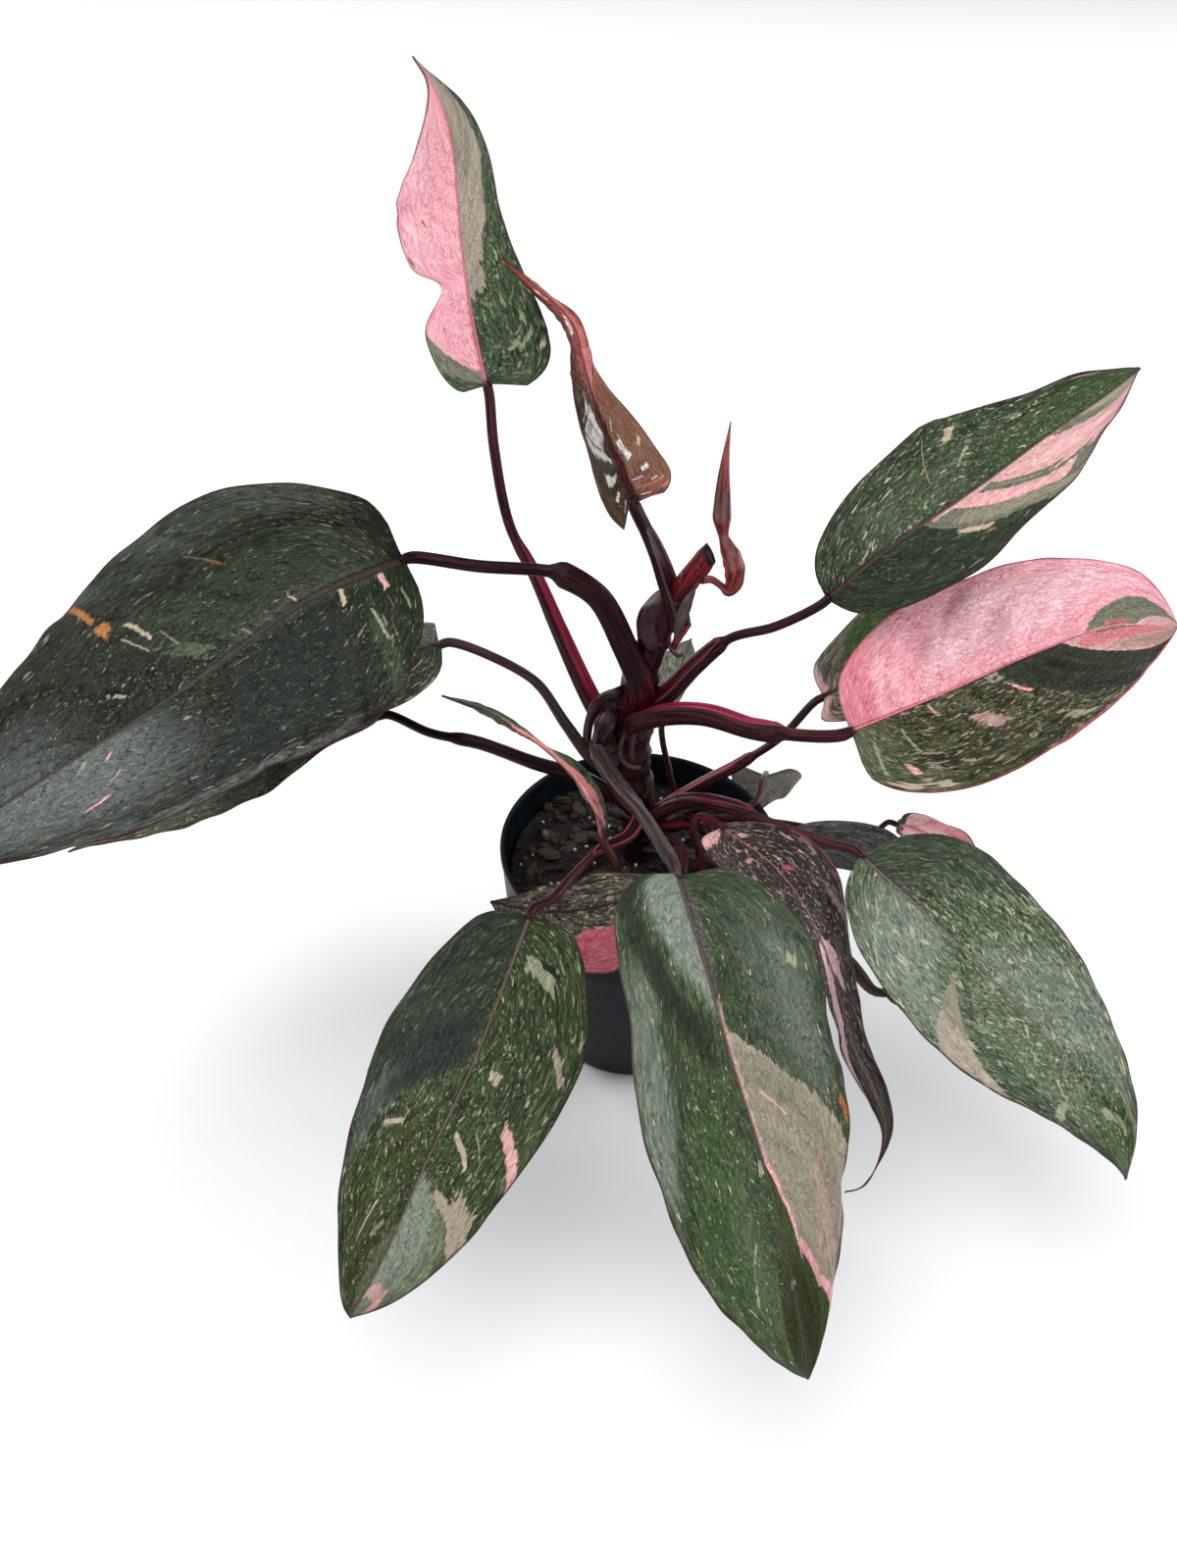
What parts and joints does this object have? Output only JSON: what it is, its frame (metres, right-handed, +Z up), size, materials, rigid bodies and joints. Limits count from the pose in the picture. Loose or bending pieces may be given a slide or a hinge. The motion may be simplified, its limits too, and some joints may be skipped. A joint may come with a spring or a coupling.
{
  "type": "potted philodendron plant",
  "caption": "Climbing aroid house plant with pink and green variegated leaves on dark red stalks, standing in a round plastic nursery pot of bark mix.",
  "frame": {"origin": "centre of the pot's underside, on the surface that the pot stands on", "axes": "+Z up along the pot's axis; -Y towards the viewer of the picture; +X to the viewer's right"},
  "size_m": [0.3496, 0.284, 0.3115],
  "materials": {
    "pot_plastic": "thin moulded nursery plastic, slightly bluish black, faint sheen",
    "potting_mix": "loose dark bark mix with pale specks",
    "bark": "rough brown bark",
    "stem": "smooth dark maroon stem",
    "stalk": "glossy dark red stalks with pink sheath edges",
    "red_sheath": "glossy wilted red sheath",
    "dry_root": "dry brown root",
    "leaf_pink": "satin leaf, pink with green speckles",
    "leaf_dark": "satin dusky leaf with pink speckles",
    "leaf_green": "satin dark green leaf with pale speckles"
  },
  "bodies": {
    "root": {"pot": "pot_plastic", "soil": "potting_mix", "bark_1": "bark", "bark_2": "bark", "bark_3": "bark", "bark_4": "bark", "bark_5": "bark", "bark_6": "bark", "bark_7": "bark", "bark_8": "bark", "stem": "stem", "shed_sheath": "red_sheath", "root_long": "dry_root", "root_short": "dry_root", "dry_strip": "dry_root", "stalk_tall": "stalk", "blade_tall": "leaf_pink", "stalk_broad": "stalk", "blade_broad": "leaf_green", "stalk_middle": "stalk", "blade_middle": "leaf_green", "stalk_lower": "stalk", "blade_lower": "leaf_green", "stalk_slim": "stalk", "blade_slim": "leaf_dark", "stalk_new": "stalk", "blade_new": "leaf_dark", "stalk_upper": "stalk", "blade_upper": "leaf_green", "stalk_pink": "stalk", "blade_pink": "leaf_pink", "stalk_grey": "stalk", "blade_grey": "leaf_green", "stalk_arching": "stalk", "blade_arching": "leaf_green", "stalk_front": "stalk", "blade_front": "leaf_green", "stalk_front_left": "stalk", "blade_front_left": "leaf_green", "stalk_dusky": "stalk", "blade_dusky": "leaf_dark", "stalk_rim": "stalk", "blade_rim": "leaf_green", "stalk_small_back": "stalk", "blade_small_back": "leaf_green", "stalk_dark": "stalk", "blade_dark": "leaf_green", "stalk_small_pink": "stalk", "blade_small_pink": "leaf_pink", "stalk_back": "stalk", "blade_back": "leaf_green", "stalk_under": "stalk", "blade_under": "leaf_green"}
  },
  "joints": []
}
